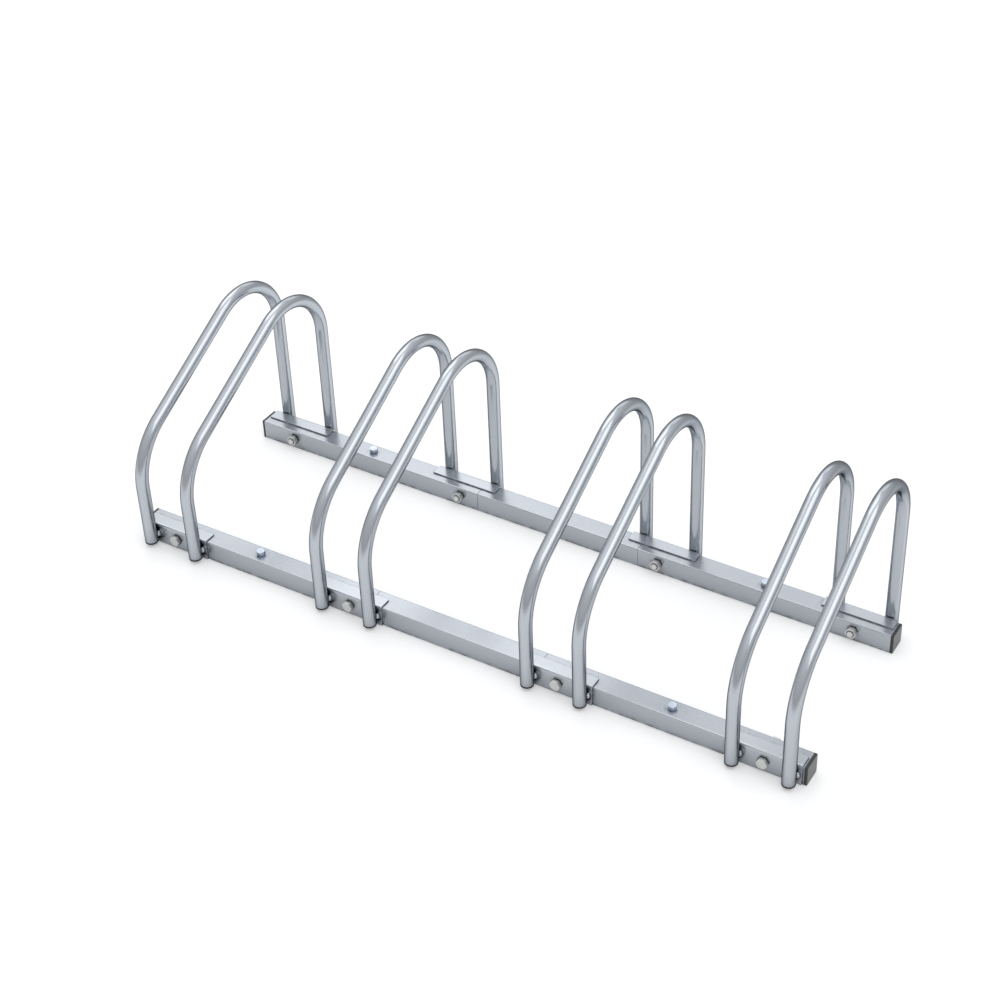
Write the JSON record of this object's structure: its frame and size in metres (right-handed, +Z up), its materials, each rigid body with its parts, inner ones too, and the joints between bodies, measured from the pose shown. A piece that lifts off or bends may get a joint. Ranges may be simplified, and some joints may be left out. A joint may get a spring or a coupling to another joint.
{
  "type": "floor bike rack",
  "caption": "Floor bike rack: bent round-tube hoops in pairs, welded to brackets that bolt to two square-tube rails; a bicycle wheel stands in each pair of hoops.",
  "frame": {"origin": "on the floor, under the middle of the rack", "axes": "+X along the rack to the right, +Y from the front rail to the rear rail, +Z up"},
  "size_m": [0.95, 0.32, 0.27],
  "materials": {
    "rail_steel": "galvanised, satin, faint lengthwise grain",
    "sleeve_steel": "galvanised, dull, hidden inside the rails",
    "cap_plastic": "moulded plastic, satin sheen",
    "hoop_steel": "galvanised tube, smooth, soft reflections, rippled weld beads",
    "bracket_steel": "galvanised sheet, satin",
    "bolt_steel": "zinc plated, fine machined rings",
    "nut_steel": "zinc plated, fine machined rings",
    "anchor_steel": "blue zinc plated, glossy"
  },
  "bodies": {
    "root": {"rail_front_left": "rail_steel", "rail_front_middle": "rail_steel", "rail_front_right": "rail_steel", "rail_rear_left": "rail_steel", "rail_rear_middle": "rail_steel", "rail_rear_right": "rail_steel", "sleeve_front_left": "sleeve_steel", "sleeve_front_right": "sleeve_steel", "sleeve_rear_left": "sleeve_steel", "sleeve_rear_right": "sleeve_steel", "cap_front_left": "cap_plastic", "cap_front_right": "cap_plastic", "cap_rear_left": "cap_plastic", "cap_rear_right": "cap_plastic", "hoop_1_left": "hoop_steel", "hoop_1_right": "hoop_steel", "hoop_2_left": "hoop_steel", "hoop_2_right": "hoop_steel", "hoop_3_left": "hoop_steel", "hoop_3_right": "hoop_steel", "hoop_4_left": "hoop_steel", "hoop_4_right": "hoop_steel", "bracket_front_1": "bracket_steel", "bracket_front_2": "bracket_steel", "bracket_front_3": "bracket_steel", "bracket_front_4": "bracket_steel", "bracket_rear_1": "bracket_steel", "bracket_rear_2": "bracket_steel", "bracket_rear_3": "bracket_steel", "bracket_rear_4": "bracket_steel", "bolt_front_1": "bolt_steel", "bolt_front_2": "bolt_steel", "bolt_front_3": "bolt_steel", "bolt_front_4": "bolt_steel", "bolt_rear_1": "bolt_steel", "bolt_rear_2": "bolt_steel", "bolt_rear_3": "bolt_steel", "bolt_rear_4": "bolt_steel", "nut_front_1": "nut_steel", "nut_front_2": "nut_steel", "nut_front_3": "nut_steel", "nut_front_4": "nut_steel", "nut_rear_1": "nut_steel", "nut_rear_2": "nut_steel", "nut_rear_3": "nut_steel", "nut_rear_4": "nut_steel", "anchor_front_left": "anchor_steel", "anchor_front_right": "anchor_steel", "anchor_rear_left": "anchor_steel", "anchor_rear_right": "anchor_steel"}
  },
  "joints": []
}
